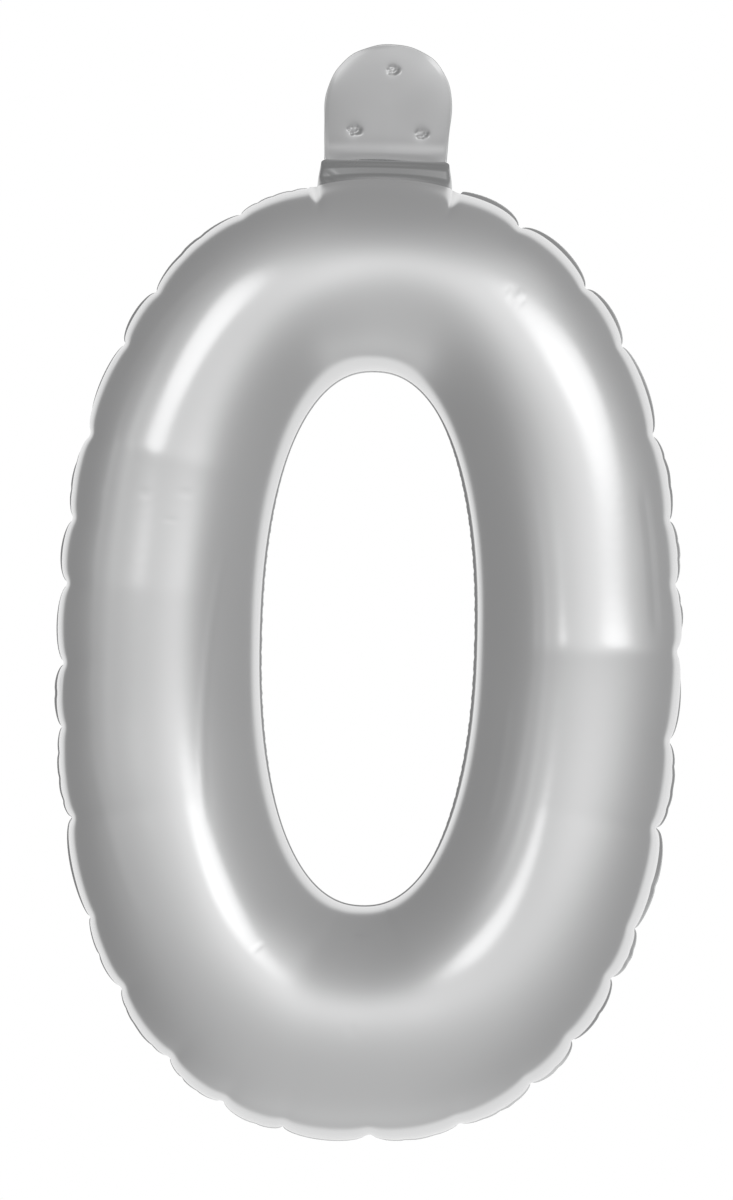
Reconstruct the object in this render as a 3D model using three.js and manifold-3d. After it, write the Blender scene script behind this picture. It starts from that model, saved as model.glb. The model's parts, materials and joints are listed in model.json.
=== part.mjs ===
// Foil number balloon "0", inflated, with its filling tail standing up from the top.
// Two metallised film panels are welded to each other round the outside and round the hole.
// At the top the panels run on into a flat tail that holds a lay-flat self-sealing valve, and
// the balloon hangs from that tail and swings about the crease where the tail leaves the ring.
//
// Millimetres. X is the balloon's width, -Y is its front, +Z is up.
// The origin is the hanging point, in the middle of the tail between its two films.
import * as THREE from "three";
import { mergeVertices } from "three/addons/utils/BufferGeometryUtils.js";
import Module from "manifold-3d";

// ---- driving dimensions ----
const OUTER_SEAM = { halfWidth: 111.0, halfHeight: 172.4, power: 2.35, z: -202.3 };
const INNER_SEAM = { halfWidth: 41.0, halfHeight: 98.8, power: 2.25, z: -194.0 };
const TUBE_HALF_DEPTH = 36; // how far the inflated ring stands out on each side of the seam plane
const FILM = 0.5; // wall of a panel
const GAP = 0.3; // between pieces that touch
const OUTER_MARGIN = 3.4; // width of the weld outside the outer seam line
const INNER_MARGIN = 2.0;
const SCALLOPS = 31; // puckers round the outer margin
const SCALLOP_DEPTH = 1.6;

const CREASE_Z = -21.1; // the fold between the tail and the ring
const CREASE_ROOM = 1.6; // films stop this far from the crease, so that it can fold
const NECK = { halfWidthLow: 24.5, halfWidthHigh: 23.2, filmInside: 0.7 };

const TAIL = { halfWidth: 22.5, top: 21.8, shoulderZ: -0.4, sideWeld: 2.7, halfDepth: 3, bevel: 2 };

const VALVE = { width: 28, film: 0.25, sleeveLength: 50, room: 0.7 };

const RING_STATIONS = 72;
const DOME_STEPS = 10;
const STATIONS_PER_SCALLOP = 6;

// ---- materials ----
const silverFilm = new THREE.MeshStandardMaterial({ color: 0xc4c5c7, roughness: 0.24, metalness: 1.0 });
const weldedMargin = new THREE.MeshStandardMaterial({ color: 0xa9abad, roughness: 0.34, metalness: 1.0 });
const valveFilm = new THREE.MeshStandardMaterial({
  color: 0xe6eaec,
  roughness: 0.3,
  metalness: 0,
  transparent: true,
  opacity: 0.5,
});

// ---- solids ----
const wasm = await Module();
wasm.setup();

// A three.js geometry as a manifold-3d solid.
function toSolid(geometry) {
  const bare = geometry.index ? geometry.toNonIndexed() : geometry.clone();
  bare.deleteAttribute("normal");
  bare.deleteAttribute("uv");
  const merged = mergeVertices(bare, 1e-4);
  return new wasm.Manifold(
    new wasm.Mesh({
      numProp: 3,
      vertProperties: merged.attributes.position.array,
      triVerts: new Uint32Array(merged.index.array),
    }),
  );
}

// A manifold-3d solid as a three.js geometry.
function toGeometry(solid) {
  const mesh = solid.getMesh();
  const points = new Float32Array(mesh.numVert * 3);
  for (let i = 0; i < mesh.numVert; i++) {
    points.set(mesh.vertProperties.subarray(i * mesh.numProp, i * mesh.numProp + 3), i * 3);
  }
  const geometry = new THREE.BufferGeometry();
  geometry.setAttribute("position", new THREE.BufferAttribute(points, 3));
  geometry.setIndex(new THREE.BufferAttribute(mesh.triVerts, 1));
  geometry.computeVertexNormals();
  return geometry;
}

// A block between two corners.
function block(low, high) {
  const size = new THREE.Vector3().subVectors(high, low);
  const centre = new THREE.Vector3().addVectors(low, high).multiplyScalar(0.5);
  return new THREE.BoxGeometry(size.x, size.y, size.z).translate(centre.x, centre.y, centre.z);
}

// A flat shape drawn in X and Z, made solid from y = back to y = front, where front is less than back.
function plate(shape, front, back, bevel = 0) {
  const geometry = new THREE.ExtrudeGeometry(shape, {
    depth: back - front - bevel,
    bevelEnabled: bevel > 0,
    bevelThickness: bevel,
    bevelSize: bevel,
    bevelOffset: -bevel,
    bevelSegments: 2,
    curveSegments: 10,
  });
  // The extrusion runs along its own +Z; turned, that is the balloon's -Y.
  return geometry.rotateX(Math.PI / 2).translate(0, back, 0);
}

// A point of a seam's oval outline, grown outward by grow.
function seamPoint(seam, t, grow = 0) {
  const along = (value) => Math.sign(value) * Math.abs(value) ** (2 / seam.power);
  return new THREE.Vector2(
    (seam.halfWidth + grow) * along(Math.sin(t)),
    seam.z + (seam.halfHeight + grow) * along(Math.cos(t)),
  );
}

// The height of the outer seam line above a place on the X axis, near the top of the ring.
function archZ(x) {
  const { halfWidth, halfHeight, power, z } = OUTER_SEAM;
  return z + halfHeight * (1 - (Math.abs(x) / halfWidth) ** power) ** (1 / power);
}

// Sweeps a closed section round the ring. section(t) gives the loop of points at station t.
// An open sweep runs from startT to endT and has flat ends.
function sweep(section, stations, startT = 0, endT = 2 * Math.PI) {
  const closed = endT - startT > 2 * Math.PI - 1e-6;
  const rows = closed ? stations : stations + 1;
  const points = [];
  const faces = [];
  let loop = 0;
  for (let i = 0; i < rows; i++) {
    const ring = section(startT + ((endT - startT) * i) / stations);
    loop = ring.length;
    ring.forEach((p) => points.push(p.x, p.y, p.z));
  }
  for (let i = 0; i < stations; i++) {
    const here = i * loop;
    const next = ((i + 1) % rows) * loop;
    for (let j = 0; j < loop; j++) {
      const k = (j + 1) % loop;
      faces.push(here + j, next + j, next + k, here + j, next + k, here + k);
    }
  }
  if (!closed) {
    for (let j = 1; j < loop - 1; j++) {
      faces.push(0, j, j + 1);
      faces.push((rows - 1) * loop, (rows - 1) * loop + j + 1, (rows - 1) * loop + j);
    }
  }
  const geometry = new THREE.BufferGeometry();
  geometry.setAttribute("position", new THREE.Float32BufferAttribute(points, 3));
  geometry.setIndex(faces);
  return geometry;
}

// ---- the inflated ring ----
// The wall of one panel at station t: an arch from the inner seam to the outer seam.
function domeSection(t, side) {
  const inner = seamPoint(INNER_SEAM, t);
  const outer = seamPoint(OUTER_SEAM, t);
  const middle = inner.clone().add(outer).multiplyScalar(0.5);
  const half = outer.clone().sub(inner).multiplyScalar(0.5);
  const startAngle = Math.asin(GAP / 2 / TUBE_HALF_DEPTH);
  const arc = (inset) => {
    const found = [];
    for (let i = 0; i <= DOME_STEPS; i++) {
      const angle = startAngle + ((Math.PI - 2 * startAngle) * i) / DOME_STEPS;
      const flat = half.clone().multiplyScalar((1 - inset / half.length()) * Math.cos(angle)).add(middle);
      found.push(new THREE.Vector3(flat.x, side * (TUBE_HALF_DEPTH - inset) * Math.sin(angle), flat.y));
    }
    return found;
  };
  const loop = [...arc(0), ...arc(FILM).reverse()];
  return side < 0 ? loop.reverse() : loop;
}

// The flat stretch of a panel between the ring and the crease.
function neckTongue() {
  const top = CREASE_Z - CREASE_ROOM;
  const shape = new THREE.Shape();
  const steps = 8;
  for (let i = 0; i <= steps; i++) {
    const x = NECK.halfWidthLow * ((2 * i) / steps - 1);
    shape[i ? "lineTo" : "moveTo"](x, archZ(x) - FILM);
  }
  shape.lineTo(NECK.halfWidthHigh, top);
  shape.lineTo(-NECK.halfWidthHigh, top);
  return shape;
}

// The way between the films that the valve runs through.
function valveWay(low, high) {
  const half = VALVE.width / 2 + VALVE.room;
  const deep = NECK.filmInside;
  return toSolid(block(new THREE.Vector3(-half, -deep, low), new THREE.Vector3(half, deep, high)));
}

function ringPanel(side) {
  const dome = toSolid(sweep((t) => domeSection(t, side), RING_STATIONS));
  const near = NECK.filmInside;
  const tongue = side < 0 ? plate(neckTongue(), -near - FILM, -near) : plate(neckTongue(), near, near + FILM);
  const way = valveWay(archZ(0) - 5, CREASE_Z);
  return toGeometry(dome.add(toSolid(tongue)).subtract(way));
}

// A flat band in the seam plane between two outlines.
function bandSection(low, high) {
  return [
    new THREE.Vector3(low.x, FILM, low.y),
    new THREE.Vector3(low.x, -FILM, low.y),
    new THREE.Vector3(high.x, -FILM, high.y),
    new THREE.Vector3(high.x, FILM, high.y),
  ];
}

// Round lobes with sharp notches between them, from 0 in a notch to 1 on a lobe.
const lobe = (t) => Math.sqrt(Math.abs(Math.sin((SCALLOPS * t) / 2)));

function outerMargin() {
  const startX = 20;
  const startT = Math.asin((startX / OUTER_SEAM.halfWidth) ** (OUTER_SEAM.power / 2));
  const section = (t) =>
    bandSection(
      seamPoint(OUTER_SEAM, t, GAP),
      seamPoint(OUTER_SEAM, t, OUTER_MARGIN - SCALLOP_DEPTH * (1 - lobe(t))),
    );
  let margin = toSolid(sweep(section, SCALLOPS * STATIONS_PER_SCALLOP, startT, 2 * Math.PI - startT));
  // The weld turns up at each side of the neck and runs to the crease.
  const ear = (sign) => {
    const shape = new THREE.Shape();
    const cornerX = NECK.halfWidthLow + 1.5;
    shape.moveTo(sign * startX, archZ(startX) + GAP);
    shape.lineTo(sign * cornerX, archZ(cornerX) + GAP);
    shape.lineTo(sign * NECK.halfWidthHigh, CREASE_Z - CREASE_ROOM);
    shape.lineTo(sign * startX, CREASE_Z - CREASE_ROOM);
    return toSolid(plate(shape, -FILM, FILM));
  };
  for (const sign of [-1, 1]) margin = margin.add(ear(sign));
  return toGeometry(margin);
}

function innerMargin() {
  const section = (t) => bandSection(seamPoint(INNER_SEAM, t, -INNER_MARGIN), seamPoint(INNER_SEAM, t, -GAP));
  return toGeometry(toSolid(sweep(section, RING_STATIONS)));
}

// ---- the tail ----
// The tail's outline, drawn in by inset: straight sides and a round end.
function tailOutline(inset) {
  const half = TAIL.halfWidth - inset;
  const low = CREASE_Z + CREASE_ROOM;
  const shape = new THREE.Shape();
  shape.moveTo(-half, low);
  shape.lineTo(half, low);
  shape.lineTo(half, TAIL.shoulderZ);
  shape.absellipse(0, TAIL.shoulderZ, half, TAIL.top - inset - TAIL.shoulderZ, 0, Math.PI, false);
  shape.closePath();
  return shape;
}

// The edge of the front film over the filling mouth, between the two welds.
function mouthLip(hollow) {
  const near = NECK.filmInside;
  const half = VALVE.width / 2;
  const keep = block(new THREE.Vector3(-half, -2, 0), new THREE.Vector3(half, 0, TAIL.top + 1));
  const lip = toSolid(plate(tailOutline(0), -near - FILM, -near));
  return lip.intersect(toSolid(keep)).subtract(hollow);
}

// One film of the tail: a shallow dish whose flat face looks away from the valve.
function tailPanel(side) {
  const edge = GAP / 2;
  const inset = TAIL.sideWeld + GAP;
  const hollow = toSolid(plate(tailOutline(inset + FILM), -TAIL.halfDepth + FILM, 1, TAIL.bevel));
  const dish = toSolid(plate(tailOutline(inset), -TAIL.halfDepth, -edge, TAIL.bevel))
    .subtract(hollow)
    .subtract(valveWay(CREASE_Z, TAIL.top))
    .trimByPlane([0, -1, 0], edge)
    .add(mouthLip(hollow));
  const geometry = toGeometry(dish);
  return side < 0 ? geometry : geometry.rotateZ(Math.PI);
}

// The weld down one side of the tail, open at the round end where the valve comes out.
function tailSideWeld(sign) {
  const full = toSolid(plate(tailOutline(0), -FILM, FILM));
  const inside = toSolid(plate(tailOutline(TAIL.sideWeld), -1, 1));
  const mouth = VALVE.width / 2 + VALVE.room;
  const keep = block(
    new THREE.Vector3(sign < 0 ? -TAIL.halfWidth - 1 : mouth, -2, CREASE_Z),
    new THREE.Vector3(sign < 0 ? -mouth : TAIL.halfWidth + 1, 2, TAIL.top + 1),
  );
  return toGeometry(full.subtract(inside).intersect(toSolid(keep)));
}

// ---- the valve: two clear films that lie flat on each other ----
function valveStrip(side, low, high) {
  const near = (side * GAP) / 2;
  const far = side * (GAP / 2 + VALVE.film);
  return block(
    new THREE.Vector3(-VALVE.width / 2, Math.min(near, far), low),
    new THREE.Vector3(VALVE.width / 2, Math.max(near, far), high),
  );
}

// In the tail the valve is cut round with the tail's end.
function valveInlet(side) {
  const strip = toSolid(valveStrip(side, CREASE_Z + VALVE.room, TAIL.top));
  const low = toSolid(valveStrip(side, CREASE_Z + VALVE.room, CREASE_Z + CREASE_ROOM + 1));
  const round = toSolid(plate(tailOutline(TAIL.sideWeld), -1, 1));
  return toGeometry(strip.intersect(round).add(low));
}

// ---- assembly ----
function piece(name, geometry, material) {
  const mesh = new THREE.Mesh(geometry, material);
  mesh.name = name;
  return mesh;
}

const ring = new THREE.Group();
ring.add(piece("front_film", ringPanel(-1), silverFilm));
ring.add(piece("rear_film", ringPanel(1), silverFilm));
ring.add(piece("outer_seam", outerMargin(), weldedMargin));
ring.add(piece("inner_seam", innerMargin(), weldedMargin));

const tail = new THREE.Group();
tail.add(piece("tail_front_film", tailPanel(-1), silverFilm));
tail.add(piece("tail_rear_film", tailPanel(1), silverFilm));
tail.add(piece("tail_seam_left", tailSideWeld(-1), weldedMargin));
tail.add(piece("tail_seam_right", tailSideWeld(1), weldedMargin));

const sleeveTop = CREASE_Z - VALVE.room;
for (const [word, side] of [["front", -1], ["rear", 1]]) {
  const sleeve = valveStrip(side, sleeveTop - VALVE.sleeveLength, sleeveTop);
  ring.add(piece("valve_sleeve_" + word, sleeve, valveFilm));
  tail.add(piece("valve_inlet_" + word, valveInlet(side), valveFilm));
}

const balloon = new THREE.Group();
balloon.add(ring, tail);

export default balloon;
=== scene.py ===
"""Looks for the foil number balloon "0": its film, its puckered weld, its tail and neck, and the studio.

Metres, in the CAD frame: +X right, -Y front, +Z up. The origin is the hanging point in the tail.
"""

import json
import math

import bpy
import numpy as np
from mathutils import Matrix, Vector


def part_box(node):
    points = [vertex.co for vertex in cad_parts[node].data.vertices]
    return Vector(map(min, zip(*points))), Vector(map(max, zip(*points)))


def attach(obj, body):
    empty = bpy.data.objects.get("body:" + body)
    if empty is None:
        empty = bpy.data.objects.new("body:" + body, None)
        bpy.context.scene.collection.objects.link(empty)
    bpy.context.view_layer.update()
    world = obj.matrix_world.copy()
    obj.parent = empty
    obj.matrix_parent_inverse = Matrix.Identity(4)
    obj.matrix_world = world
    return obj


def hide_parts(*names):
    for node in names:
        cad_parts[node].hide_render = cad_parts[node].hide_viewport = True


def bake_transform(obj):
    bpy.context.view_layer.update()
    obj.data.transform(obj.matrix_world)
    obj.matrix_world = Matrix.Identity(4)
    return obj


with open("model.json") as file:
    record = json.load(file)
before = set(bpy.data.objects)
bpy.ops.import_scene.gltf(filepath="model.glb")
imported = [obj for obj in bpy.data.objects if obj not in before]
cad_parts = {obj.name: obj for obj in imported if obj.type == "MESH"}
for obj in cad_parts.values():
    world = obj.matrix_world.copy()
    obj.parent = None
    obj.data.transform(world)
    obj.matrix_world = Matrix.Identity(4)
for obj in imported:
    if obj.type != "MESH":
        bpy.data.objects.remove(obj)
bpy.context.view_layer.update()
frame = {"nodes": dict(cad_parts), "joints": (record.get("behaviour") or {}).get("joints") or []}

MM = 0.001

# ---- the frame's own sizes ----
film_low, film_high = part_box("front_film")
hole_low, hole_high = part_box("inner_seam")
TAIL_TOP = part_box("tail_front_film")[1].z

CREASE_Z = frame["joints"][0]["pos_m"][2]
SEAM_GAP = 0.3 * MM  # what the CAD leaves between a film and its weld
RING_HALF_HEIGHT = 172.4 * MM  # of the outer seam, where film and weld meet

# The two seams are ovals: half width, half height, how square (2 is an ellipse), and the middle's height.
OUTER = {
    "a": film_high.x,
    "b": RING_HALF_HEIGHT,
    "power": 2.35,
    "z": film_low.z + RING_HALF_HEIGHT,
}
INNER = {
    "a": hole_high.x + SEAM_GAP,
    "b": (hole_high.z - hole_low.z) / 2 + SEAM_GAP,
    "power": 2.25,
    "z": (hole_high.z + hole_low.z) / 2,
}
TUBE_DEPTH = -film_low.y  # how far the film stands out in front of the weld
TAIL_FOOT = CREASE_Z + 1.2 * MM  # where the tail's films end and the neck's begin
NECK_SHIFT = 2.0 * MM  # the tail stands a little right of the ring's middle
NECK_HALF = 24.5 * MM  # half the neck's width where it meets the ring

rng = np.random.default_rng(20)


# ---- outlines ----
def oval(shape, angle):
    """A point of an oval outline in X and Z; angle 0 is the top and it grows clockwise from the front."""
    s, c = np.sin(angle), np.cos(angle)
    x = shape["a"] * np.sign(s) * np.abs(s) ** (2 / shape["power"])
    z = shape["z"] + shape["b"] * np.sign(c) * np.abs(c) ** (2 / shape["power"])
    return np.stack([x, z], -1)


def oval_normal(shape, points):
    """The outward normal of the oval at points on it."""
    x = points[..., 0] / shape["a"]
    z = (points[..., 1] - shape["z"]) / shape["b"]
    gx = np.sign(x) * np.abs(x) ** (shape["power"] - 1) / shape["a"]
    gz = np.sign(z) * np.abs(z) ** (shape["power"] - 1) / shape["b"]
    n = np.stack([gx, gz], -1)
    return n / np.linalg.norm(n, axis=-1, keepdims=True)


fine_angle = np.linspace(0, 2 * math.pi, 40001)
fine_points = oval(OUTER, fine_angle)
fine_length = np.concatenate([[0], np.cumsum(np.linalg.norm(np.diff(fine_points, axis=0), axis=1))])
SEAM_LENGTH = fine_length[-1]


def seam_point(q):
    """The outer seam's point at arc length q, clockwise from the top."""
    return oval(OUTER, np.interp(np.mod(q, SEAM_LENGTH), fine_length, fine_angle))


def arc_at(angle_degrees):
    """The arc length at an angle of the oval."""
    return np.interp(math.radians(angle_degrees), fine_angle, fine_length)


def inside_hole(points):
    """Whether points lie inside the inner seam."""
    across = np.abs(points[..., 0] / INNER["a"]) ** INNER["power"]
    up = np.abs((points[..., 1] - INNER["z"]) / INNER["b"]) ** INNER["power"]
    return across + up < 1


def foot_on_hole(points, normals):
    """Where the inward normals of the outer seam meet the inner seam."""
    # The first crossing is bracketed by marching, then halved.
    reach = np.linspace(20 * MM, 140 * MM, 241)
    marched = points[:, None, :] - normals[:, None, :] * reach[None, :, None]
    first = np.argmax(inside_hole(marched), axis=1)
    high = reach[first]
    low = reach[np.maximum(first - 1, 0)]
    for _ in range(30):
        middle = (low + high) / 2
        within = inside_hole(points - normals * middle[:, None])
        high = np.where(within, middle, high)
        low = np.where(within, low, middle)
    return points - normals * high[:, None]


# ---- puckers of the outer weld ----
NECK_EDGE = 25.5 * MM  # along the seam, from its top to the neck's corners
CORNER_NOTCH = 1.2 * MM  # how far the seam is drawn in at those corners
PITCH = 29.0 * MM  # about how far one notch is from the next
NOTCH_DEPTHS = (2.2, 5.8)  # in mm, for the notches between the deepest ones
PER_LOBE = 30  # the mesh's stations from one notch to the next
COARSE_BLUR = 0.25 * MM  # how far the notches' sharp ends are rounded at the seam
FINE_BLUR = 0.2 * MM
# The deepest notches: degrees round the oval, depth in mm, and how strongly they kink the tube.
# A kink below 0 is a ridge.
DEEP_NOTCHES = [
    (88.8, 6.2, -1.8),
    (106.2, 5.0, 0.25),
    (191.0, 3.4, 0.2),
    (253.4, 4.4, 0.3),
    (276.2, 5.4, -0.5),
    (294.0, 6.0, -1.1),
]


def uneven_ends(start, end, count, change):
    """The ends of count stretches from start to end, of lengths that differ by that share."""
    shares = 1 + rng.uniform(-change, change, count)
    return start + (end - start) * np.cumsum(shares) / shares.sum()


def plan_notches():
    """Arc length and depth of every notch, from one neck corner round to the other."""
    anchors = [(NECK_EDGE, CORNER_NOTCH)]
    anchors += [(arc_at(angle), depth * MM) for angle, depth, _ in DEEP_NOTCHES]
    anchors += [(SEAM_LENGTH - NECK_EDGE, CORNER_NOTCH)]
    planned = []
    for (start, depth), (end, _) in zip(anchors[:-1], anchors[1:]):
        count = max(1, round((end - start) / PITCH))
        ends = uneven_ends(start, end, count, 0.36)
        planned.append((start, depth))
        planned += [(q, rng.uniform(*NOTCH_DEPTHS) * MM) for q in ends[:-1]]
    planned.append(anchors[-1])
    return np.array(planned)


notches = plan_notches()

GRID = 8192  # even samples round the seam, for smoothing
grid_q = np.arange(GRID) * SEAM_LENGTH / GRID


def each_lobe(q, marks):
    """For every two neighbouring marks: both marks, which q lie between them, and how far along."""
    for start, end in zip(marks[:-1], marks[1:]):
        along = (q - start[0]) / (end[0] - start[0])
        here = (along >= 0) & (along < 1)
        yield start, end, here, along[here]


def lobes(q, marks):
    """How far the seam is drawn in at q: round lobes with sharp notches at the marks."""
    drawn = np.zeros_like(q)
    for (_, depth0), (_, depth1), here, along in each_lobe(q, marks):
        bulge = (4 * along * (1 - along)) ** 0.3
        drawn[here] = (depth0 + (depth1 - depth0) * along) * (1 - bulge)
    return drawn


def small_scallops(q):
    """Finer ripples inside some lobes."""
    marks = []
    for (start, _), (end, _) in zip(notches[:-1], notches[1:]):
        count = int(rng.integers(1, 5))
        ends = uneven_ends(start, end, count, 0.3)
        marks.append((start, 0.0))
        marks += [(end_q, rng.uniform(0.4, 1.0) * MM) for end_q in ends[:-1]]
    marks.append((notches[-1, 0], 0.0))
    return lobes(q, np.array(marks))


def smoothed(values, sigma):
    """A gaussian blur round the seam, by its Fourier series."""
    wave = np.fft.rfftfreq(GRID, d=SEAM_LENGTH / GRID)
    return np.fft.irfft(np.fft.rfft(values) * np.exp(-2 * (math.pi * wave * sigma) ** 2), GRID)


def wander(wavelength, size, generator):
    """A smooth random walk round the seam, of about that wavelength and size."""
    walk = smoothed(generator.standard_normal(GRID), wavelength / 4)
    return size * walk / walk.std()


drawn_coarse = lobes(grid_q, notches)
drawn_fine = small_scallops(grid_q)


def seam_sway(q):
    """The seam leaves its plane by turns from lobe to lobe."""
    sway = np.zeros_like(q)
    for k, (_, _, here, along) in enumerate(each_lobe(q, notches)):
        size = rng.uniform(0.2, 1.1) * MM * (1 if k % 2 else -1)
        sway[here] += size * np.sin(math.pi * along) ** 2
    return sway


sway_grid = smoothed(seam_sway(grid_q), 1.2 * MM)


def valley(q, angle, depth, reach):
    """A cusped valley at one of the deepest notches, a quarter as deep, fading over reach each way."""
    return depth / 4 * MM * np.exp(-np.abs(q - arc_at(angle)) / reach)


kink_grid = sum(kink * valley(grid_q, angle, depth, 17 * MM) for angle, depth, kink in DEEP_NOTCHES)
pinch_grid = sum(valley(grid_q, angle, depth, 1.6 * MM) for angle, depth, _ in DEEP_NOTCHES)


def on_grid(values, q):
    """Grid values at arc lengths q."""
    closed_q = np.append(grid_q, SEAM_LENGTH)
    return np.interp(np.mod(q, SEAM_LENGTH), closed_q, np.append(values, values[0]))


def stations():
    """Arc lengths of the mesh's stations, close together at the notches; the neck is one more lobe."""
    ends = np.append(notches[:, 0], SEAM_LENGTH + NECK_EDGE)
    even = np.arange(PER_LOBE) / PER_LOBE
    crowded = even - 0.7 * np.sin(2 * math.pi * even) / (2 * math.pi)
    return np.concatenate([start + (end - start) * crowded for start, end in zip(ends[:-1], ends[1:])])


# ---- mesh help ----
def grid_faces(rows, columns, wrap):
    """Quads over rows by columns of points; wrap joins the last row to the first."""
    count = rows if wrap else rows - 1
    r = np.arange(count)[:, None]
    c = np.arange(columns - 1)[None, :]
    a = r * columns + c
    b = ((r + 1) % rows) * columns + c
    return np.stack([a, b, b + 1, a + 1], -1).reshape(-1, 4)


def tube_faces(rows, columns, wrap):
    """Quads over a closed loop of points swept along a path; wrap closes the path too."""
    faces = grid_faces(rows, columns + 1, wrap)
    return faces // (columns + 1) * columns + faces % (columns + 1) % columns


def make_object(name, points, faces):
    """A smooth mesh object from arrays."""
    mesh = bpy.data.meshes.new(name)
    mesh.from_pydata(points.reshape(-1, 3).tolist(), [], faces.tolist())
    mesh.validate()
    mesh.polygons.foreach_set("use_smooth", [True] * len(mesh.polygons))
    mesh.update()
    piece = bpy.data.objects.new(name, mesh)
    bpy.context.scene.collection.objects.link(piece)
    return piece


# ---- the ring's film ----
# Long faint creases along the tube: from and to in degrees round the oval, from and to as shares of the way
# from the outer seam to the inner one, and height in mm (below 0 is a groove).
LONG_CREASES = [
    (284, 249, 0.74, 0.62, 0.16),
    (92, 111, 0.765, 0.768, 0.16),
    (70, 88, 0.275, 0.270, -0.34),
    (330, 300, 0.30, 0.24, 0.08),
    (262, 236, 0.30, 0.36, 0.07),
]
# Small dents: degrees round the oval, share of the way across, sizes along and across in mm, depth in mm.
# Those near 30 degrees are the crumple at the upper right.
DENTS = [
    (289.0, 0.545, 0.7, 1.9, 0.16),
    (285.0, 0.515, 0.7, 1.8, 0.16),
    (287.5, 0.31, 0.8, 1.4, 0.12),
    (288.0, 0.42, 0.8, 1.3, 0.10),
    (30.0, 0.40, 1.0, 0.9, 0.15),
    (30.8, 0.415, 0.8, 0.9, -0.12),
    (31.5, 0.395, 0.9, 0.9, 0.14),
    (32.2, 0.41, 0.9, 0.8, 0.12),
    (33.0, 0.39, 0.9, 1.1, -0.12),
    (33.8, 0.405, 0.9, 0.8, 0.13),
    (305.0, 0.13, 2.4, 0.6, 0.14),
    (282.0, 0.12, 2.6, 0.6, 0.14),
    (268.0, 0.13, 3.0, 0.6, 0.12),
    (222.0, 0.60, 1.2, 1.6, 0.10),
    (181.0, 0.50, 1.5, 1.1, 0.10),
]
FILM_PAST_WELD = 2.2 * MM  # how far the film's round edge stands over the weld
FILM_PAST_HOLE = 1.3 * MM
FILM_FLOOR = 0.12 * MM  # the two films never come closer to the seam's plane
FULLNESS = 0.25  # the section is blunter at the outer weld than at the hole
NECK_JOIN = 30 * MM  # along the film, from where it runs on up to the neck's foot
NECK_FOOT_OUT = 8.6 * MM  # how far the neck's film stands out at its foot
ACROSS = 96  # columns from the outer seam to the inner one
GIRTH = math.pi * 35.5 * MM  # about the film's width from seam to seam
SLOW_WAVES = np.linspace(0.15, 0.85, 4)  # shares across, where slow waves run along the tube


def across_steps():
    """Shares of the way from the outer seam to the inner one, dense at the welds."""
    fine = np.linspace(0, 1, 4001)
    density = 1 + 5 * np.exp(-((fine / 0.05) ** 2)) + 1.5 * np.exp(-(((1 - fine) / 0.05) ** 2))
    total = np.concatenate([[0], np.cumsum((density[1:] + density[:-1]) / 2)])
    return np.interp(np.linspace(0, total[-1], ACROSS), total, fine)


def bell(value, width):
    """A gaussian of that half-width."""
    return np.exp(-((value / width) ** 2))


def step(value, start, end):
    """A smooth step: 0 at start, 1 at end."""
    t = np.clip((value - start) / (end - start), 0, 1)
    return t * t * (3 - 2 * t)


def neck_end(x):
    """1 across the neck, rounded down to 0 at its two edges."""
    return np.sqrt(np.clip(1 - np.abs((x - NECK_SHIFT) / NECK_HALF) ** 24, 0, 1))


def neck_foot(x):
    """The height where the neck's film turns into the ring's."""
    return CREASE_Z - 6.0 * MM - 2.9 * MM * np.abs((x - NECK_SHIFT) / NECK_HALF) ** 2.4


def marks_on_film(q, share):
    """The long creases and the dents, as heights over the film."""
    height = np.zeros((len(q), len(share)))
    for start, end, share_start, share_end, size in LONG_CREASES:
        q0, q1 = arc_at(start), arc_at(end)
        along = (q - q0) / (q1 - q0)
        inside = step(along, -0.02, 0.2) * step(along, 1.02, 0.8)
        middle = share_start + (share_end - share_start) * np.clip(along, 0, 1)
        away = (share[None, :] - middle[:, None]) * GIRTH
        height += size * MM * inside[:, None] * bell(away, 1.3 * MM)
    for angle, at, size_q, size_s, depth in DENTS:
        near_q = bell(q - arc_at(angle), size_q * MM)
        near_s = bell((share - at) * GIRTH, size_s * MM)
        height -= depth * MM * near_q[:, None] * near_s[None, :]
    return height


def run_up_to_neck(points, from_seam, at_neck, neck_x, side):
    """At the neck the film doesn't end in the weld: a smooth curve carries it up to the neck's foot."""
    join = int(np.searchsorted(from_seam, NECK_JOIN))
    t = from_seam / from_seam[join]
    start = np.stack([neck_x, side * NECK_FOOT_OUT * neck_end(neck_x), neck_foot(neck_x)], -1)
    end = points[:, join]
    length = np.linalg.norm(end - start, axis=1)
    start_slope = length[:, None] * np.array([0, side * 0.84, -0.54])
    end_slope = (points[:, join + 1] - points[:, join - 1]) / (t[join + 1] - t[join - 1])
    for j in range(join):
        u = t[j]
        curve = start * (2 * u**3 - 3 * u**2 + 1) + end * (3 * u**2 - 2 * u**3)
        curve += start_slope * (u**3 - 2 * u**2 + u) + end_slope * (u**3 - u**2)
        points[:, j] += at_neck[:, None] * (curve - points[:, j])


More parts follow.
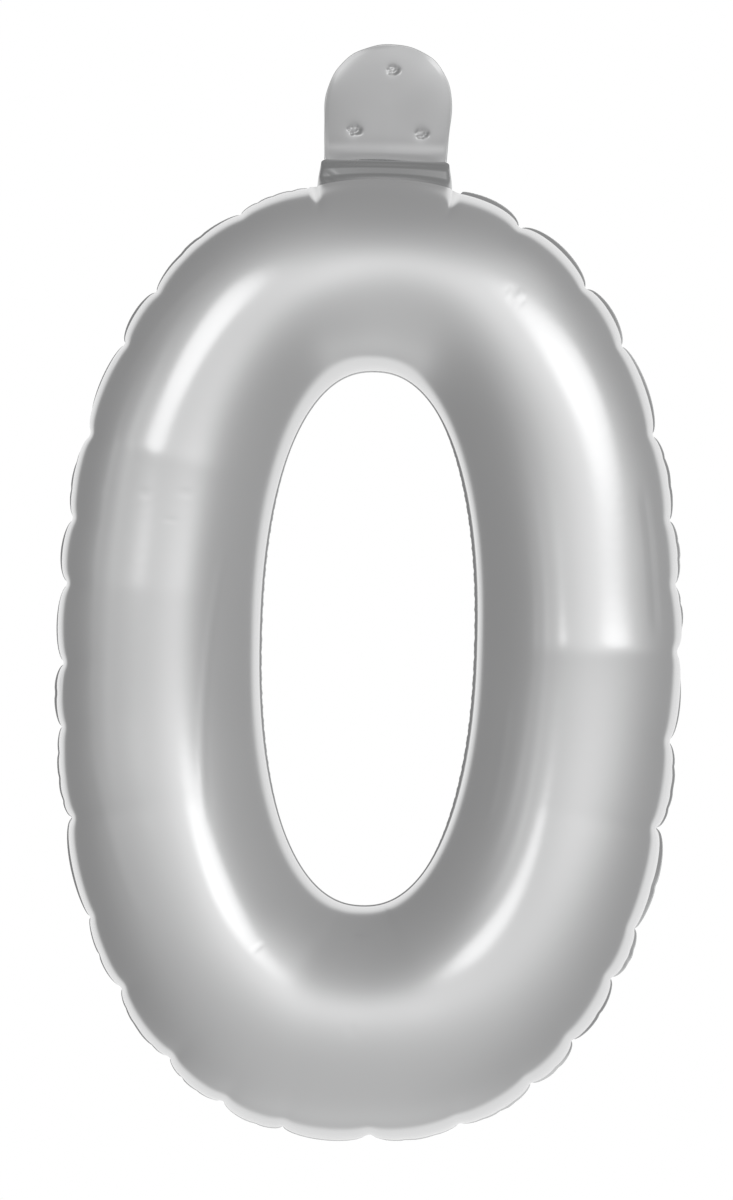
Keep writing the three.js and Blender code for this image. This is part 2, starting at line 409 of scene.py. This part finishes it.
def film_relief(q, share, normal_x, side, generator):
    """How far the film stands off its plain section: marks, notches, kinks and slow waves."""
    relief = marks_on_film(q, share) if side < 0 else np.zeros((len(q), len(share)))
    slow = [wander(110 * MM, 0.28 * MM, generator) for _ in SLOW_WAVES]
    # The notches reach a little further into the film on the left than on the right.
    notch_reach = (18.0 - 1.0 * normal_x) * MM
    mean = drawn_coarse.mean()
    for j, s in enumerate(share * GIRTH):
        coarse = on_grid(smoothed(drawn_coarse, COARSE_BLUR + 0.07 * s), q)
        relief[:, j] -= (mean + (coarse - mean) * bell(s, notch_reach)) * bell(s, 50 * MM)
        fine = on_grid(smoothed(drawn_fine, FINE_BLUR + 0.1 * s), q)
        relief[:, j] -= fine * bell(s, 0.55 * notch_reach)
        kink = on_grid(smoothed(kink_grid, 0.6 * MM + 0.03 * s), q)
        relief[:, j] -= kink * bell(s, 62 * MM) * (1 - math.exp(-s / (6 * MM)))
        pinch = on_grid(smoothed(pinch_grid, 0.3 * MM + 0.06 * s), q)
        relief[:, j] -= pinch * math.exp(-s / (14 * MM)) * (1 - math.exp(-s / (2 * MM)))
        near = bell(share[j] - SLOW_WAVES, 0.2)
        waves = sum(nearness * on_grid(wave, q) for nearness, wave in zip(near, slow))
        relief[:, j] += waves * math.sin(math.pi * share[j])
    return relief


def plain_section(outer, inner, neck_x, share):
    """The film without its marks: its place, its height off the seam's plane, outward, and its normal."""
    middle = (outer + inner) / 2
    half = (outer - inner) / 2
    width = np.linalg.norm(half, axis=1)
    depth = TUBE_DEPTH * (0.55 + 0.45 * width / width.mean())
    angle = math.pi * share
    cos, sin = np.cos(angle), np.sin(angle)
    # Towards the neck the bluntness fades out.
    near_neck = (outer[:, 1] > OUTER["z"]) * bell(neck_x - NECK_SHIFT, 42 * MM)
    blunt = FULLNESS * (1 - 1.3 * near_neck[:, None])
    run = cos[None, :] + blunt / 4 * np.sin(2 * angle)[None, :] ** 2
    flat = middle[:, None, :] + half[:, None, :] * run[:, :, None]
    out = depth[:, None] * sin[None, :]
    # The surface's own normal, in the section's plane.
    n_flat = cos[None, :] / width[:, None]
    n_out = (sin[None, :] - blunt / 2 * np.sin(4 * angle)[None, :]) / depth[:, None]
    size = np.hypot(n_flat, n_out)
    return flat, out, half / width[:, None], n_flat / size, n_out / size


def ring_film(name, side, seed):
    """The inflated film on one side of the seam: side is -1 for the front and 1 for the rear."""
    generator = np.random.default_rng(seed)
    q = stations()
    share = across_steps()
    from_seam = share * GIRTH
    seam = seam_point(q)
    neck_x = seam[:, 0]
    normal = oval_normal(OUTER, seam)
    outer = seam + normal * FILM_PAST_WELD
    inner = foot_on_hole(seam, normal)
    inner = inner - oval_normal(INNER, inner) * FILM_PAST_HOLE
    flat, out, outward, n_flat, n_out = plain_section(outer, inner, neck_x, share)

    relief = film_relief(q, share, normal[:, 0], side, generator)
    at_neck = (outer[:, 1] > OUTER["z"]) * step(np.abs(neck_x - NECK_SHIFT), 28.0 * MM, 23.6 * MM)
    sway = (1 - at_neck) * on_grid(sway_grid, q)
    x = flat[..., 0] + outward[:, None, 0] * relief * n_flat
    z = flat[..., 1] + outward[:, None, 1] * relief * n_flat
    out = np.maximum(out + relief * n_out, FILM_FLOOR)
    y = side * out + sway[:, None] * np.exp(-from_seam / (7 * MM))
    points = np.stack([x, y, z], -1)
    run_up_to_neck(points, from_seam, at_neck, neck_x, side)
    faces = grid_faces(len(q), len(share), True)
    if side > 0:
        faces = faces[:, ::-1]
    return make_object(name, points, faces)


# ---- the welds ----
WELD_HALF_THICK = 0.09 * MM
LIP_FOLD = 1.25  # how far the lip of weld outside the film folds back for each metre outward
LIP_TUCK = 0.25 * MM  # how far it starts inside the film's edge
RIGHT_PART = 0.44  # share of the seam's length, clockwise from the top, where the lip is broad


def lip_loop(steps):
    """The lip's section: out over those steps on its front face (-1) and back on its rear face (1)."""
    return [(out, -1) for out in steps] + [(out, 1) for out in reversed(steps)]


def lip_width(q, generator):
    """The lip is a crescent outside every lobe: broad on the right, thin at the bottom."""
    width = np.where(q < RIGHT_PART * SEAM_LENGTH, 0.85 * MM, 0.55 * MM)
    for (start, _), (end, _), here, along in each_lobe(q, notches):
        round_share = (start + end) / 2 / SEAM_LENGTH
        broad = 1.3 if round_share < RIGHT_PART else 0.75
        broad *= 1 - 0.75 * bell(round_share - 0.52, 0.08)
        width[here] += broad * generator.uniform(0.35, 1.0) * MM * np.sin(math.pi * along) ** 0.8
    return width


def weld_band():
    """The lip of the welded margin that shows outside the film, folded back."""
    q = stations()
    drawn = on_grid(smoothed(drawn_coarse, COARSE_BLUR) + smoothed(drawn_fine, FINE_BLUR), q)
    seam = seam_point(q)
    normal = oval_normal(OUTER, seam)
    sway = on_grid(sway_grid, q)
    base = seam - normal * drawn[:, None]
    generator = np.random.default_rng(5)
    # The weld stops at the neck's corners.
    top = seam[:, 1] > OUTER["z"]
    ends = np.where(top, step(np.abs(seam[:, 0] - NECK_SHIFT), 25.4 * MM, 28.0 * MM), 0.999)
    width = lip_width(q, generator) * (0.02 + 0.98 * ends)
    edge = FILM_PAST_WELD * ends - LIP_TUCK
    fold = LIP_FOLD * (1 + 0.2 * on_grid(wander(40 * MM, 1.0, generator), q))
    loop = lip_loop([0.0, 0.25, 0.5, 0.75, 1.0])
    points = np.zeros((len(q), len(loop), 3))
    for j, (out, face) in enumerate(loop):
        place = base + normal * (edge + width * out)[:, None]
        points[:, j, 0] = place[:, 0]
        points[:, j, 2] = place[:, 1]
        points[:, j, 1] = sway * ends + fold * width * out + face * WELD_HALF_THICK
    return make_object("outer_weld", points, tube_faces(len(q), len(loop), True))


def hole_band():
    """The thin lip of weld that shows round the hole, broader and a little frayed at its two sides."""
    count = 900
    angle = np.linspace(0, 2 * math.pi, count, endpoint=False)
    seam = oval(INNER, angle)
    normal = oval_normal(INNER, seam)
    right = step(seam[:, 0] / INNER["a"], 0.55, 0.95)
    left = step(seam[:, 0] / INNER["a"], -0.75, -1.0)
    fray = 0.5 + 0.5 * np.sin(angle * 190) * np.sin(angle * 71)
    width = 0.75 * MM + 0.55 * MM * right + 0.25 * MM * left + 0.3 * MM * fray * (right + left)
    edge = FILM_PAST_HOLE - LIP_TUCK
    loop = lip_loop([0.0, 0.5, 1.0])
    points = np.zeros((count, len(loop), 3))
    for j, (out, face) in enumerate(loop):
        place = seam - normal * (edge + width * out)[:, None]
        points[:, j, 0] = place[:, 0]
        points[:, j, 2] = place[:, 1]
        points[:, j, 1] = LIP_FOLD * width * out + face * WELD_HALF_THICK
    return make_object("hole_weld", points, tube_faces(count, len(loop), True)[:, ::-1])


# ---- the tail and the neck ----
TAIL_WIDEST = CREASE_Z + 19.6 * MM  # above this the tail's outline is a rounded end
TAIL_LEAN = math.tan(math.radians(6))  # the tail's top leans forward
TAIL_TILT = 0.03  # and a little to the right
TAIL_STRAIGHT = 21.9 * MM  # half the tail's width at its foot
TAIL_END_UP, TAIL_END_ACROSS = 2.25, 2.15  # how square the rounded end is
TAIL_GRID = 150
VALVE_HALF = 14 * MM
# Three small crushed dimples, in mm: right of the tail's middle, above the crease, radius, depth.
DIMPLES = [(0.8, 34.0, 1.9, 1.05), (-12.2, 12.0, 2.3, 1.35), (12.4, 11.2, 2.1, 1.2)]


def tail_middle(z):
    """Where the tail's middle line is at that height."""
    return NECK_SHIFT + TAIL_TILT * (z - TAIL_FOOT)


def tail_half(z):
    """Half the tail's width at that height."""
    straight = TAIL_STRAIGHT + 0.9 * MM * step(z, TAIL_FOOT, TAIL_WIDEST)
    rise = np.clip((z - TAIL_WIDEST) / (TAIL_TOP - TAIL_WIDEST), 0, 1)
    return straight * np.clip(1 - rise**TAIL_END_UP, 0, 1) ** (1 / TAIL_END_ACROSS)


def tail_outline(count):
    """Points round the tail's outline, from its lower left corner over the top to its lower right."""
    turn = np.linspace(0, math.pi, count)
    rise = np.sin(turn) ** 0.9
    z = TAIL_FOOT + (TAIL_TOP - TAIL_FOOT) * rise
    x = tail_middle(z) - np.sign(np.cos(turn)) * tail_half(z)
    return np.stack([x, z], -1)


def from_outline(x, z, outline):
    """How far each point is from the outline."""
    flat = np.stack([x.ravel(), z.ravel()], -1)
    nearest = np.full(len(flat), 1.0)
    for a, b in zip(outline[:-1], outline[1:]):
        ab = b - a
        t = np.clip((flat - a) @ ab / max(ab @ ab, 1e-12), 0, 1)
        nearest = np.minimum(nearest, np.linalg.norm(flat - a - t[:, None] * ab, axis=1))
    return nearest.reshape(x.shape)


def crushed(x, z):
    """The dimples: each a crushed spot of sharp little dents round one larger dent."""
    height = np.zeros_like(x)
    generator = np.random.default_rng(8)
    for right, up, radius, depth in DIMPLES:
        dx = x - tail_middle(CREASE_Z + up * MM) - right * MM
        dz = z - CREASE_Z - up * MM
        height -= 0.35 * depth * MM * bell(np.hypot(dx, dz), radius * MM)
        for k in range(7):
            turn = 2 * math.pi * (k + generator.uniform(-0.25, 0.25)) / 6
            away = radius * MM * (generator.uniform(0.65, 0.95) if k else 0.9)
            spot = np.hypot(dx - away * math.cos(turn), dz - away * math.sin(turn) * 0.8)
            size = 0.95 * MM if k == 0 else generator.uniform(0.45, 0.6) * MM
            height -= depth * MM * (0.75 if k == 0 else generator.uniform(0.3, 0.5)) * bell(spot, size)
    return height


def tail_film(name, side):
    """One film of the tail: a shallow pillow, rolled at its foot and drawn in at the crease."""
    rise = np.linspace(0, 1, TAIL_GRID)
    rise = rise - 0.5 * np.sin(2 * math.pi * rise) / (2 * math.pi)
    z = TAIL_FOOT + (TAIL_TOP - 0.06 * MM - TAIL_FOOT) * rise
    across = np.linspace(-1, 1, TAIL_GRID)
    across = across + 0.2 * np.sin(math.pi * across)
    x = tail_middle(z)[:, None] + tail_half(z)[:, None] * across[None, :]
    z = np.repeat(z[:, None], len(across), axis=1)
    edge = from_outline(x, z, tail_outline(400))
    rim = np.clip(edge / (1.3 * MM), 0, 1)
    out = 0.25 * MM + 1.9 * MM * (1 - np.exp(-edge / (8 * MM)))
    up = z - CREASE_Z
    out += 0.1 * MM * bell(up - 4.4 * MM, 2.0 * MM) * rim
    out -= 0.08 * MM * bell(up - 7.2 * MM, 2.0 * MM) * rim
    cloud = np.sin(x / (6.1 * MM) + 1.3 * side) * np.sin(z / (7.3 * MM) + 0.7)
    cloud += 0.6 * np.sin(x / (3.7 * MM) - z / (5.2 * MM))
    out += 0.12 * MM * cloud * rim
    out += crushed(x, z) * rim
    lip = neck_lip(x[0])
    roll = np.clip((z - TAIL_FOOT) / (3.0 * MM), 0, 1)
    out = lip[None, :] + (out - lip[None, :]) * (1 - (1 - roll) ** 2.5)
    y = side * np.maximum(out, 0.1 * MM) - TAIL_LEAN * (z - TAIL_FOOT)
    points = np.stack([x, y, z], -1)
    faces = grid_faces(*x.shape, False)
    if side < 0:
        faces = faces[:, ::-1]
    return make_object(name, points, faces)


def neck_lip(x):
    """How far the film stands out at the crease."""
    return 0.62 * MM * np.sqrt(np.clip(1 - np.abs((x - NECK_SHIFT) / (22.0 * MM)) ** 8, 0.03, 1))


def tail_edge():
    """The tail's narrow weld, all round its outline but the crease."""
    count = 260
    outline = tail_outline(count)
    ahead = np.gradient(outline, axis=0)
    ahead /= np.linalg.norm(ahead, axis=1)[:, None]
    normal = np.stack([-ahead[:, 1], ahead[:, 0]], -1)
    along = np.arange(count)
    wave = 0.12 * MM * np.sin(0.19 * along) * np.sin(0.045 * along)
    # The weld's section in mm: outward from the outline, and back from the tail's middle plane.
    loop = [(-0.9, -0.2), (0.0, -0.22), (0.35, -0.1), (0.35, 0.1), (0.0, 0.22), (-0.9, 0.2)]
    points = np.zeros((count, len(loop), 3))
    for j, (out, y) in enumerate(loop):
        place = outline + normal * (out * MM + wave)[:, None]
        points[:, j, 0] = place[:, 0]
        points[:, j, 2] = place[:, 1]
        points[:, j, 1] = y * MM - TAIL_LEAN * (place[:, 1] - TAIL_FOOT)
    return make_object("tail_edge", points, tube_faces(count, len(loop), False))


def valve_inlet(name, side):
    """One clear valve film, flat inside the tail, from the crease up to the tail's open end."""
    x = np.linspace(-VALVE_HALF, VALVE_HALF, 33)
    away = np.abs(x - tail_middle(TAIL_TOP)) / tail_half(TAIL_WIDEST)
    rise = (1 - away**TAIL_END_ACROSS) ** (1 / TAIL_END_UP)
    top = TAIL_WIDEST + (TAIL_TOP - TAIL_WIDEST) * rise - 0.4 * MM
    low = CREASE_Z + 0.7 * MM
    z = low + (top - low)[None, :] * np.linspace(0, 1, 41)[:, None]
    x = np.repeat(x[None, :], len(z), axis=0)
    y = side * 0.1 * MM - TAIL_LEAN * (z - TAIL_FOOT)
    faces = grid_faces(*x.shape, False)
    if side < 0:
        faces = faces[:, ::-1]
    return make_object(name, np.stack([x, y, z], -1), faces)


def neck_film(name, side):
    """The short film between the crease and the ring: a fold, an arched roll and a groove under it."""
    down = np.linspace(0, 1, 48)
    across = np.sin(np.linspace(-1, 1, 120) * math.pi / 2)
    height = [-8.0 * MM, -5.0 * MM, 0.3 * MM, 0.8 * MM, TAIL_FOOT - CREASE_Z]
    half = [NECK_HALF, 24.2 * MM, 23.3 * MM, 22.8 * MM, TAIL_STRAIGHT]
    x_foot = NECK_SHIFT + NECK_HALF * across
    x = np.zeros((len(down), len(across)))
    z = np.zeros_like(x)
    for i, d in enumerate(down):
        z[i] = TAIL_FOOT + d * (neck_foot(x_foot) - TAIL_FOOT)
        x[i] = NECK_SHIFT + across * np.interp(z[i] - CREASE_Z, height, half)
    end = np.sqrt(np.clip(1 - np.abs(across) ** 6, 0.001, 1))[None, :]
    # The film comes forward as it goes down: over a shelf, a soft roll, then a groove.
    shelf = step(down, 0.04, 0.40)
    groove = step(down, 0.66, 1.25) / step(1.0, 0.66, 1.25)
    share = 0.27 * shelf + 0.41 * down + 0.32 * groove
    lip = neck_lip(x[0])[None, :]
    foot_out = NECK_FOOT_OUT * neck_end(x_foot)[None, :]
    out = lip + (foot_out - lip) * share[:, None]
    # The corner is crumpled where the left weld ends.
    corner = bell(x - NECK_SHIFT + 21.0 * MM, 3.0 * MM) * bell(z - CREASE_Z + 5.0 * MM, 1.8 * MM)
    out += 0.45 * MM * corner * np.sin((x + z) / (0.8 * MM)) * end
    y = side * np.maximum(out, 0.1 * MM)
    points = np.stack([x, y, z], -1)
    faces = grid_faces(*x.shape, False)
    if side > 0:
        faces = faces[:, ::-1]
    return make_object(name, points, faces)


# ---- materials ----
def new_material(name):
    """A material with its node tree and its shader."""
    material = bpy.data.materials.new(name)
    material.use_nodes = True
    return material, material.node_tree, material.node_tree.nodes["Principled BSDF"]


def noise(tree, scale, detail):
    """Noise in the piece's own coordinates."""
    place = tree.nodes.new("ShaderNodeTexCoord")
    cloud = tree.nodes.new("ShaderNodeTexNoise")
    cloud.inputs["Scale"].default_value = scale
    cloud.inputs["Detail"].default_value = detail
    tree.links.new(place.outputs["Object"], cloud.inputs["Vector"])
    return cloud.outputs["Fac"]


def cloud_colour(tree, shader, cloud, dark, light):
    """Lets the shader's base colour change from dark to light with the noise."""
    tint = tree.nodes.new("ShaderNodeMix")
    tint.data_type = "RGBA"
    tint.inputs["A"].default_value = (*dark, 1)
    tint.inputs["B"].default_value = (*light, 1)
    tree.links.new(cloud, tint.inputs["Factor"])
    tree.links.new(tint.outputs["Result"], shader.inputs["Base Color"])


def silver_film(name, base, roughness):
    """Metallised film: faint clouding, small changes of gloss and a very shallow orange peel."""
    material, tree, shader = new_material(name)
    nodes, links = tree.nodes, tree.links
    shader.inputs["Metallic"].default_value = 1.0
    shader.inputs["Coat Weight"].default_value = 0.12
    shader.inputs["Coat Roughness"].default_value = 0.08
    cloud = noise(tree, 22.0, 5.0)
    cloud_colour(tree, shader, cloud, [c * 0.95 for c in base], base)

    gloss = nodes.new("ShaderNodeMapRange")
    gloss.inputs["From Min"].default_value = 0.3
    gloss.inputs["From Max"].default_value = 0.7
    gloss.inputs["To Min"].default_value = roughness - 0.03
    gloss.inputs["To Max"].default_value = roughness + 0.04
    links.new(cloud, gloss.inputs["Value"])
    links.new(gloss.outputs["Result"], shader.inputs["Roughness"])

    peel = nodes.new("ShaderNodeBump")
    peel.inputs["Strength"].default_value = 0.06
    peel.inputs["Distance"].default_value = 0.2 * MM
    links.new(noise(tree, 260.0, 3.0), peel.inputs["Height"])
    links.new(peel.outputs["Normal"], shader.inputs["Normal"])
    return material


def clear_film(name):
    """The valve's clear film."""
    material, tree, shader = new_material(name)
    shader.inputs["Roughness"].default_value = 0.25
    shader.inputs["Alpha"].default_value = 0.5
    cloud_colour(tree, shader, noise(tree, 40.0, 2.0), (0.82, 0.85, 0.87), (0.93, 0.95, 0.96))
    return material


def dress(piece, material):
    """Gives a piece one material."""
    piece.data.materials.clear()
    piece.data.materials.append(material)


# ---- studio ----
VIEW_HEIGHT = 436.8 * MM  # what the picture's height covers at the weld's plane
VIEW_CENTRE = (-1.1 * MM, -179.9 * MM)
CAMERA_AWAY = 2.6
CAMERA_ROLL = math.radians(-1.35)
SENSOR = 36.0  # the camera's sensor height, in mm
FLOOR_Z, FLOOR_RADIUS = -0.62, 1.0
FLOOR_SOLID, FLOOR_GONE = 0.25, 0.62  # radii where the floor starts and ends to fade
FLOOR_FADE_Y = 0.1  # the middle of that fade, a little behind the balloon
FLOOR_LIGHT_AWAY, FLOOR_LIGHT_SIDE = 1.4, 0.5  # over the ring's middle, and its size
FLOOR_LIGHT_RADIANCE = 12.0


def make_camera():
    """A camera in front of the ring's middle, at the photograph's viewing angle."""
    data = bpy.data.cameras.new("camera")
    data.sensor_fit = "VERTICAL"
    data.sensor_height = SENSOR
    data.lens = SENSOR * CAMERA_AWAY / VIEW_HEIGHT
    camera = bpy.data.objects.new("camera", data)
    bpy.context.scene.collection.objects.link(camera)
    camera.location = (VIEW_CENTRE[0], -CAMERA_AWAY, VIEW_CENTRE[1])
    camera.rotation_euler = (math.pi / 2, CAMERA_ROLL, 0)
    bpy.context.scene.camera = camera


def soft_step(tree, value, start, end):
    """0 where value is at start, 1 at end, smooth between."""
    ramp = tree.nodes.new("ShaderNodeMapRange")
    ramp.interpolation_type = "SMOOTHSTEP"
    ramp.inputs["From Min"].default_value = start
    ramp.inputs["From Max"].default_value = end
    tree.links.new(value, ramp.inputs["Value"])
    return ramp.outputs["Result"]


# What the film reflects, placed by the lean of the film that shows it to a front-on camera:
# lean right, lean up, spread right, spread up, turn in degrees, strength, and edge (0 a soft glow).
LAMPS = [
    (0.04, 0.07, 0.46, 0.39, 0, 0.46, 0.0),
    (0.23, 0.10, 0.24, 0.16, 0, 0.42, 0.0),
    (0.28, 0.15, 0.13, 0.095, 8, 0.62, 0.22),
    (-0.20, 0.16, 0.17, 0.15, 0, 0.22, 0.0),
    (-0.20, 0.15, 0.08, 0.11, 0, 0.62, 0.28),
    (-0.42, 0.06, 0.16, 0.18, 0, 0.14, 0.0),
    (-0.40, 0.12, 0.030, 0.12, 0, 0.16, 0.0),
    (-0.54, 0.10, 0.025, 0.10, 0, 0.14, 0.0),
    (0.30, 0.34, 0.08, 0.17, -40, 0.14, 0.0),
    (-0.08, -0.44, 0.36, 0.22, 0, 0.17, 0.0),
    (-0.06, -0.74, 0.60, 0.22, 0, 0.33, 0.0),
]
ROOM_LEFT, ROOM_RIGHT = 0.405, 0.515  # the room's own brightness to the left and right
WALL_NEAR, WALL_FAR = 0.8, 1.15  # the wall's brightness where it starts and straight behind
WALL_STARTS, WALL_COVERS = 0.56, 0.70  # 0 is beside the balloon, 1 straight behind it
SHINE_STARTS, SHINE_ENDS = 0.58, 0.82


def arithmetic(tree, operation, *values):
    """A math node's output for numbers or sockets."""
    node = tree.nodes.new("ShaderNodeMath")
    node.operation = operation
    for socket, value in zip(node.inputs, values):
        if isinstance(value, (int, float)):
            socket.default_value = value
        else:
            tree.links.new(value, socket)
    return node.outputs["Value"]


def lamp_glow(tree, lean_x, lean_z, lamp):
    """One lamp's brightness at the film's lean."""
    x, z, spread_x, spread_z, turn, strength, edge = lamp
    c, s = math.cos(math.radians(turn)), math.sin(math.radians(turn))
    dx = arithmetic(tree, "SUBTRACT", lean_x, x)
    dz = arithmetic(tree, "SUBTRACT", lean_z, z)
    along = arithmetic(tree, "MULTIPLY", dz, s / spread_x)
    along = arithmetic(tree, "MULTIPLY_ADD", dx, c / spread_x, along)
    across = arithmetic(tree, "MULTIPLY", dx, -s / spread_z)
    across = arithmetic(tree, "MULTIPLY_ADD", dz, c / spread_z, across)
    square = arithmetic(tree, "MULTIPLY_ADD", along, along, arithmetic(tree, "MULTIPLY", across, across))
    if edge:
        away = arithmetic(tree, "SQRT", square)
        fall = soft_step(tree, away, 1 + edge, 1 - edge)
    else:
        fall = arithmetic(tree, "EXPONENT", arithmetic(tree, "MULTIPLY", square, -1.0))
    return arithmetic(tree, "MULTIPLY", fall, strength)


def room_level(tree, lean_x, lean_z):
    """How bright the room is: its own grey and the lamps."""
    side = soft_step(tree, lean_x, -0.8, 0.8)
    level = arithmetic(tree, "MULTIPLY_ADD", side, ROOM_RIGHT - ROOM_LEFT, ROOM_LEFT)
    for lamp in LAMPS:
        level = arithmetic(tree, "ADD", level, lamp_glow(tree, lean_x, lean_z, lamp))
    return level


def with_wall(tree, room, lean_x, lean_z, behind):
    """The room's brightness with the wall behind the balloon, brightest straight behind."""
    # The wall starts sooner to the right and towards the floor.
    down = arithmetic(tree, "MINIMUM", lean_z, 0.0)
    right = arithmetic(tree, "MAXIMUM", lean_x, 0.0)
    sideways = arithmetic(tree, "MULTIPLY", lean_x, lean_x)
    start = arithmetic(tree, "MULTIPLY_ADD", sideways, -0.03, behind)
    start = arithmetic(tree, "MULTIPLY_ADD", lean_x, 0.08, start)
    start = arithmetic(tree, "MULTIPLY_ADD", arithmetic(tree, "MULTIPLY", down, down), 0.33, start)
    start = arithmetic(tree, "MULTIPLY_ADD", arithmetic(tree, "MULTIPLY", right, down), -0.25, start)
    wall = soft_step(tree, start, WALL_STARTS, WALL_COVERS)
    far = soft_step(tree, start, SHINE_STARTS, SHINE_ENDS)
    shine = arithmetic(tree, "MULTIPLY_ADD", far, WALL_FAR - WALL_NEAR, WALL_NEAR)
    to_wall = arithmetic(tree, "MULTIPLY", wall, arithmetic(tree, "SUBTRACT", shine, room))
    return arithmetic(tree, "ADD", room, to_wall)


def make_world():
    """White to the camera; to the film, a grey room with soft lamps in front and a white wall behind."""
    world = bpy.data.worlds.new("studio")
    bpy.context.scene.world = world
    world.use_nodes = True
    tree = world.node_tree
    nodes, links = tree.nodes, tree.links
    nodes.clear()
    out = nodes.new("ShaderNodeOutputWorld")
    seen = nodes.new("ShaderNodeBackground")
    seen.inputs["Color"].default_value = (1, 1, 1, 1)
    place = nodes.new("ShaderNodeTexCoord")
    split = nodes.new("ShaderNodeSeparateXYZ")
    links.new(place.outputs["Generated"], split.inputs["Vector"])
    x, y, z = (split.outputs[axis] for axis in "XYZ")

    # The lean of film that mirrors this direction to a camera in front: half way between the two.
    square = arithmetic(tree, "MAXIMUM", arithmetic(tree, "MULTIPLY_ADD", y, -2.0, 2.0), 0.001)
    reach = arithmetic(tree, "SQRT", square)
    lean_x = arithmetic(tree, "DIVIDE", x, reach)
    lean_z = arithmetic(tree, "DIVIDE", z, reach)
    room = room_level(tree, lean_x, lean_z)

    unseen = nodes.new("ShaderNodeBackground")
    links.new(with_wall(tree, room, lean_x, lean_z, y), unseen.inputs["Strength"])
    path = nodes.new("ShaderNodeLightPath")
    mix = nodes.new("ShaderNodeMixShader")
    links.new(path.outputs["Is Camera Ray"], mix.inputs["Fac"])
    links.new(unseen.outputs["Background"], mix.inputs[1])
    links.new(seen.outputs["Background"], mix.inputs[2])
    links.new(mix.outputs["Shader"], out.inputs["Surface"])


def make_floor_light():
    """A square softbox straight over the ring. The film doesn't mirror it."""
    data = bpy.data.lights.new("floor_light", "AREA")
    data.shape = "SQUARE"
    data.size = FLOOR_LIGHT_SIDE
    data.energy = FLOOR_LIGHT_RADIANCE * math.pi * FLOOR_LIGHT_SIDE**2
    light = bpy.data.objects.new("floor_light", data)
    bpy.context.scene.collection.objects.link(light)
    light.location = (0, 0, OUTER["z"] + FLOOR_LIGHT_AWAY)
    light.visible_camera = False
    light.visible_glossy = False


def floor_paper():
    """Pale paper that is solid under the balloon and fades out into the white room."""
    material, tree, shader = new_material("floor_paper")
    nodes, links = tree.nodes, tree.links
    shader.inputs["Base Color"].default_value = (0.94, 0.94, 0.94, 1)
    shader.inputs["Roughness"].default_value = 0.9
    place = nodes.new("ShaderNodeNewGeometry")
    split = nodes.new("ShaderNodeSeparateXYZ")
    links.new(place.outputs["Position"], split.inputs["Vector"])
    flat = nodes.new("ShaderNodeCombineXYZ")
    links.new(split.outputs["X"], flat.inputs["X"])
    links.new(arithmetic(tree, "SUBTRACT", split.outputs["Y"], FLOOR_FADE_Y), flat.inputs["Y"])
    away = nodes.new("ShaderNodeVectorMath")
    away.operation = "LENGTH"
    links.new(flat.outputs["Vector"], away.inputs[0])
    links.new(soft_step(tree, away.outputs["Value"], FLOOR_GONE, FLOOR_SOLID), shader.inputs["Alpha"])
    return material


def make_floor():
    """A disc under the balloon. The film doesn't mirror it."""
    turns = np.linspace(0, 2 * math.pi, 96, endpoint=False)
    rim = [(FLOOR_RADIUS * math.cos(turn), FLOOR_RADIUS * math.sin(turn), FLOOR_Z) for turn in turns]
    mesh = bpy.data.meshes.new("floor")
    mesh.from_pydata(rim, [], [list(range(len(rim)))])
    floor = bpy.data.objects.new("floor", mesh)
    bpy.context.scene.collection.objects.link(floor)
    dress(floor, floor_paper())
    floor.visible_glossy = False


make_camera()
make_world()
make_floor()
make_floor_light()
bpy.context.scene.view_settings.view_transform = "Standard"

film = silver_film("silver_film", (0.765, 0.767, 0.77), 0.18)
# The tail gets a darker copy of the ring's silver film: painted shade, not a different film.
shaded_tail_sheet = silver_film("tail_film", (0.57, 0.572, 0.575), 0.2)
# The neck gets a still darker copy of the silver film: painted shade of its crease and groove.
shaded_neck_sheet = silver_film("neck_film", (0.5, 0.502, 0.505), 0.24)
# The ring's welds are darker than the tail's margin of the same weld: painted shade on the welds.
weld = silver_film("welded_margin", (0.62, 0.622, 0.625), 0.22)
tail_rim = silver_film("tail_margin", (0.8, 0.802, 0.805), 0.22)
valve_sheet = clear_film("valve_film")

pieces = (
    (ring_film("ring_front", -1, 3), film, "silver_film", ["front_film"]),
    (ring_film("ring_rear", 1, 4), film, "silver_film", ["rear_film"]),
    (weld_band(), weld, "welded_margin", ["outer_seam"]),
    (hole_band(), weld, "welded_margin", ["inner_seam"]),
    (tail_film("tail_front", -1), shaded_tail_sheet, "silver_film", ["tail_front_film"]),
    (tail_film("tail_rear", 1), shaded_tail_sheet, "silver_film", ["tail_rear_film"]),
    (tail_edge(), tail_rim, "welded_margin", ["tail_seam_left", "tail_seam_right"]),
    (valve_inlet("tail_valve_front", -1), valve_sheet, "valve_film", ["valve_inlet_front"]),
    (valve_inlet("tail_valve_rear", 1), valve_sheet, "valve_film", ["valve_inlet_rear"]),
    (neck_film("neck_front", -1), shaded_neck_sheet, "silver_film", []),
    (neck_film("neck_rear", 1), shaded_neck_sheet, "silver_film", []),
)
for piece, material, slot, nodes in pieces:
    dress(piece, material)
    piece.visible_glossy = False  # the film shows no second reflections of itself
    if piece.name.startswith("neck"):
        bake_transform(piece)
    else:
        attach(piece, "tail" if piece.name.startswith("tail") else "ring")
        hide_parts(*nodes)

for name, node in frame["nodes"].items():
    if name.startswith("valve_sleeve"):
        dress(node, valve_sheet)
